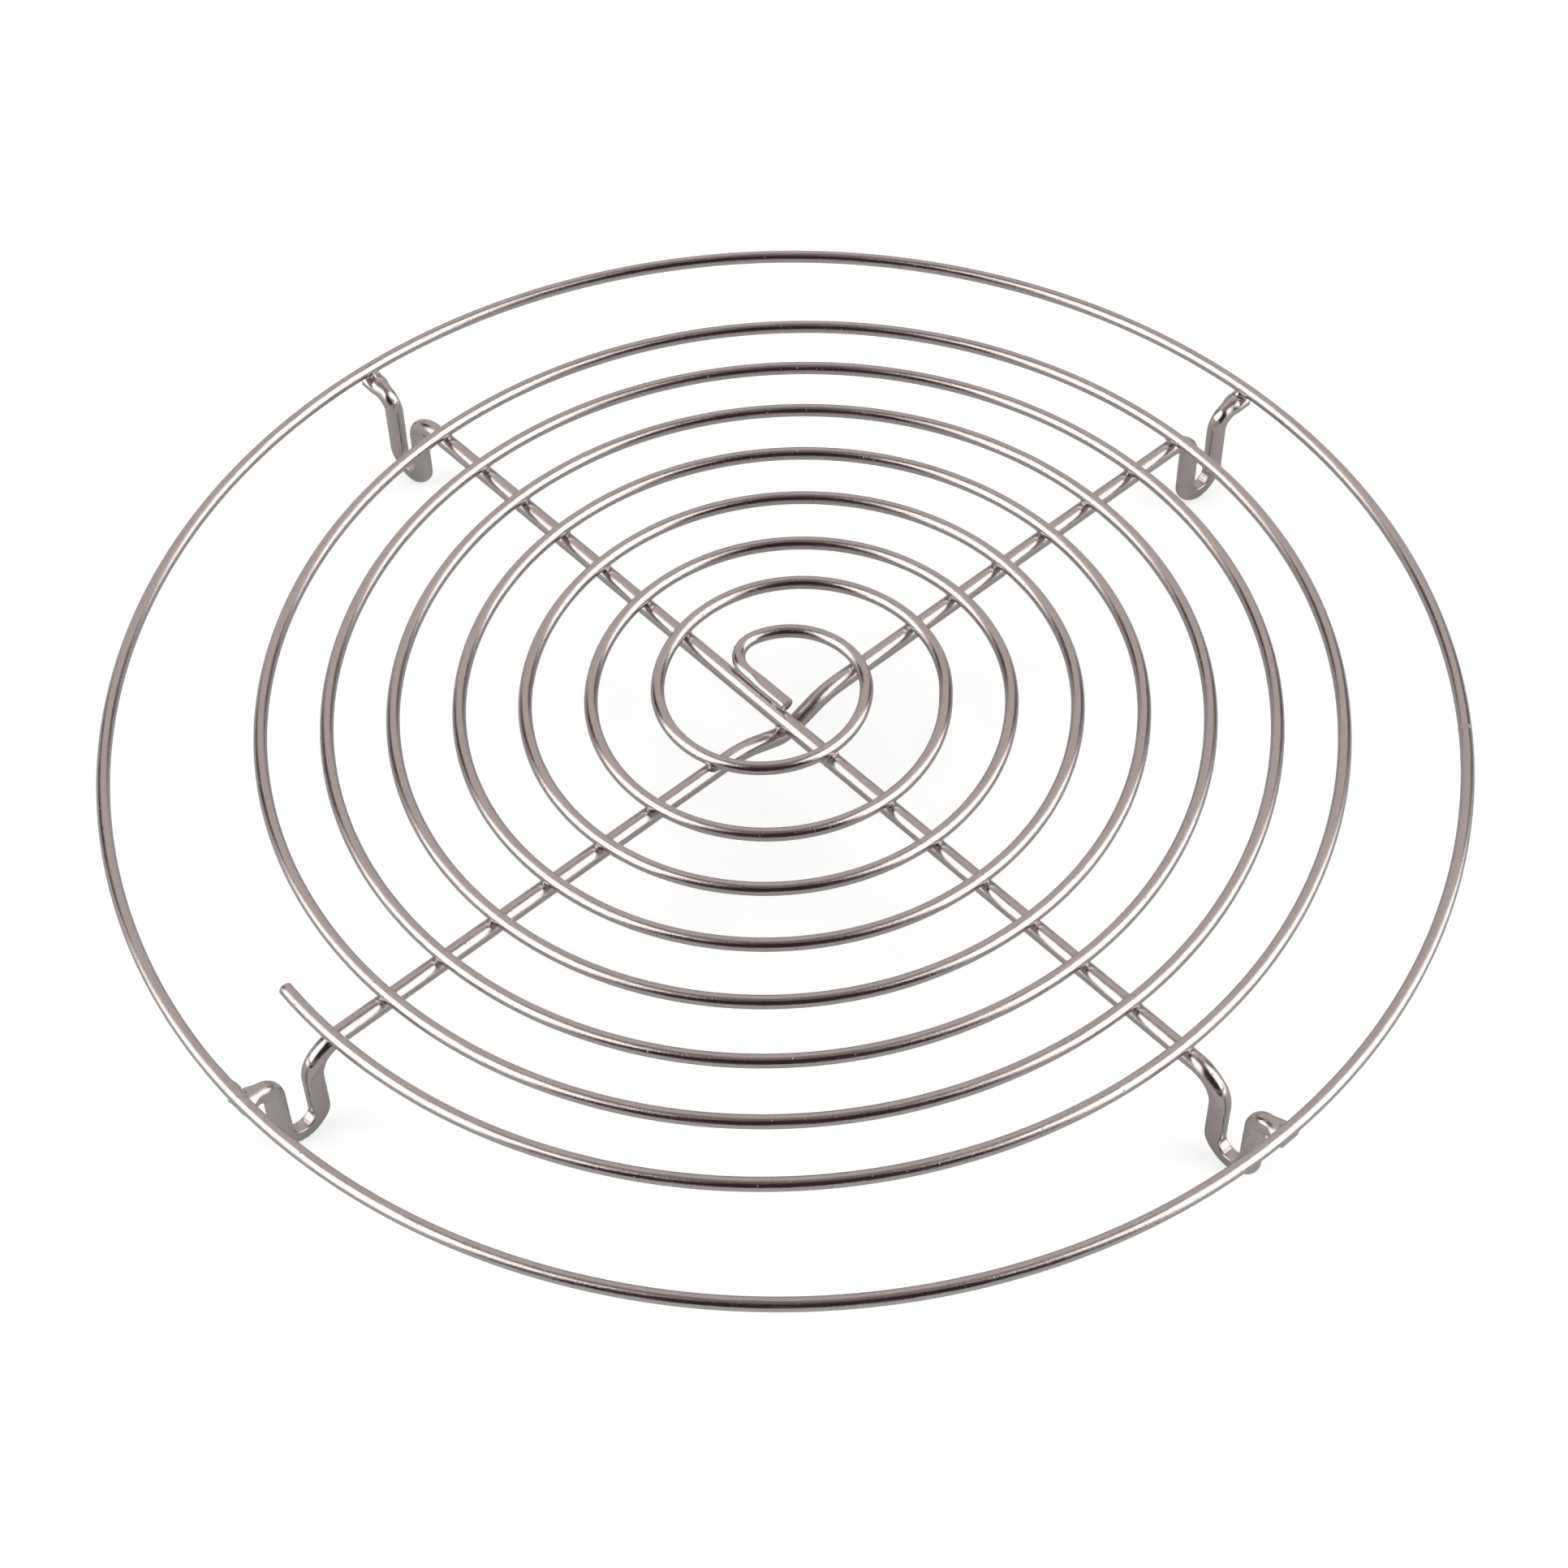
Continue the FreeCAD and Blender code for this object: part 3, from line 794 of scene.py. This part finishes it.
def studio():
    """World light that the wire mirrors, by the direction of the ray that leaves the rack."""
    world = bpy.data.worlds.new("studio")
    bpy.context.scene.world = world
    world.use_nodes = True
    tree = world.node_tree
    tree.nodes.clear()
    ray = add(tree, "ShaderNodeTexCoord").outputs["Generated"]
    part = add(tree, "ShaderNodeSeparateXYZ", {0: ray})
    room = mixed(tree, ramp(tree, part.outputs["Y"], -0.30, 0.25), DARK_ROOM, WALL_GREY)
    for *outline, shade in DARK_SCREENS:
        screen = panel(tree, ray, *outline, SCREEN_BLUR)
        room = mixed(tree, screen, room, (shade, shade * 0.8, shade * 0.75, 1))
    ceiling = mixed(tree, ramp(tree, part.outputs["Y"], -0.9, 0.15), DARK_ROOM, CEILING_GREY)
    room = mixed(tree, ramp(tree, part.outputs["Z"], 0.83, 0.97), room, ceiling)
    room = mixed(tree, panel(tree, ray, *WARM_PANEL), room, WARM_GREY)
    for box in (LEFT_BOX, RIGHT_BOX):
        white = (BOX_GLOW, BOX_GLOW * 0.985, BOX_GLOW * 0.965, 1)
        room = mixed(tree, panel(tree, ray, *box), room, white)
    sight = add(tree, "ShaderNodeLightPath").outputs["Is Camera Ray"]
    light = add(tree, "ShaderNodeBackground", {"Color": room, "Strength": 1.0})
    plain = add(tree, "ShaderNodeBackground", {"Color": PLAIN_GREY, "Strength": 1.0})
    inputs = {0: sight, 1: light.outputs[0], 2: plain.outputs[0]}
    either = add(tree, "ShaderNodeMixShader", inputs)
    add(tree, "ShaderNodeOutputWorld", {"Surface": either.outputs[0]})


LENS = 72.92
CAMERA_PLACE = Vector((0.02796, -0.45221, 0.55814))
CAMERA_YAW = -3.578              # degrees, to the left of straight ahead
CAMERA_PITCH = 50.840            # downwards
CAMERA_ROLL = -1.239


def camera():
    """Camera in front of the rack and above it, looking down at it."""
    yaw, pitch, roll = (math.radians(x) for x in (CAMERA_YAW, CAMERA_PITCH, CAMERA_ROLL))
    forward = Vector((math.sin(yaw) * math.cos(pitch), math.cos(yaw) * math.cos(pitch),
                      -math.sin(pitch)))
    level = Vector((math.cos(yaw), -math.sin(yaw), 0))
    upward = level.cross(forward)
    right = math.cos(roll) * level + math.sin(roll) * upward
    top = math.cos(roll) * upward - math.sin(roll) * level
    data = bpy.data.cameras.new("camera")
    data.lens, data.sensor_width = LENS, 36.0
    data.clip_start = 0.01
    eye = bpy.data.objects.new("camera", data)
    bpy.context.scene.collection.objects.link(eye)
    turned = Matrix((right, top, -forward)).transposed().to_4x4()
    eye.matrix_world = Matrix.Translation(CAMERA_PLACE) @ turned
    bpy.context.scene.camera = eye


floor()
studio()
camera()
